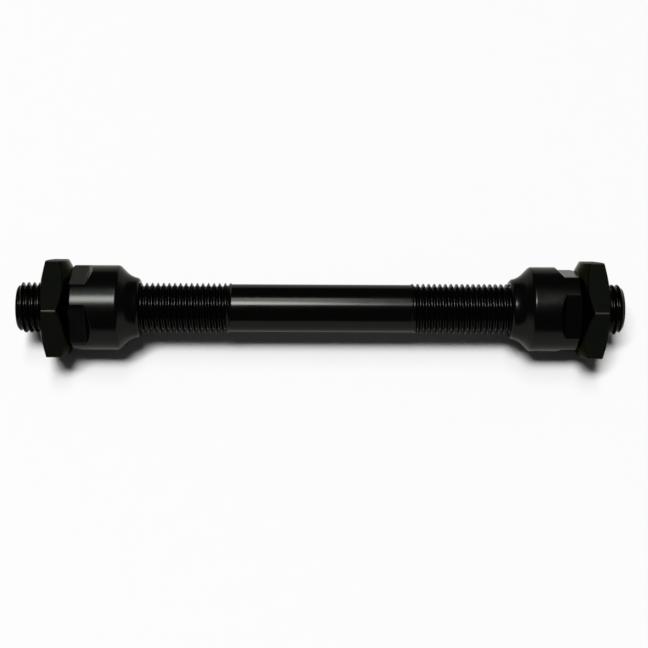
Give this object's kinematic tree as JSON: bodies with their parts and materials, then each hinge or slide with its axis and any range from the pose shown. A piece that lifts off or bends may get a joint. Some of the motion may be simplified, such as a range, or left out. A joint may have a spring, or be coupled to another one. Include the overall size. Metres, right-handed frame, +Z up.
{
  "type": "hollow hub axle",
  "caption": "Black hollow bicycle hub axle with threaded ends and a plain middle, carrying bearing cones and hexagon locknuts, for a quick-release skewer through its bore.",
  "frame": {"origin": "on the axle's axis, midway between the locknuts' outer faces", "axes": "+X along the axle to the right-hand end, +Z up from the surface that the locknuts' flats lie on"},
  "size_m": [0.108, 0.0196, 0.017],
  "materials": {
    "axle_steel": "black-finished steel, turned, semi-gloss",
    "cone_steel": "black-finished steel, ground race, glossy",
    "nut_steel": "black-finished steel, satin"
  },
  "bodies": {
    "axle": {"hollow_axle": "axle_steel"},
    "left_cone": {"left_cone": "cone_steel"},
    "right_cone": {"right_cone": "cone_steel"},
    "left_locknut": {"left_locknut": "nut_steel"},
    "right_locknut": {"right_locknut": "nut_steel"}
  },
  "joints": [
    {"name": "left_cone_travel", "type": "slide", "parent": "axle", "child": "left_cone", "axis": [1, 0, 0], "range_m": [0, 0.015]},
    {"name": "right_cone_travel", "type": "slide", "parent": "axle", "child": "right_cone", "axis": [-1, 0, 0], "range_m": [0, 0.015]},
    {"name": "left_locknut_travel", "type": "slide", "parent": "axle", "child": "left_locknut", "axis": [-1, 0, 0], "range_m": [0, 0.012]},
    {"name": "right_locknut_travel", "type": "slide", "parent": "axle", "child": "right_locknut", "axis": [1, 0, 0], "range_m": [0, 0.012]}
  ]
}
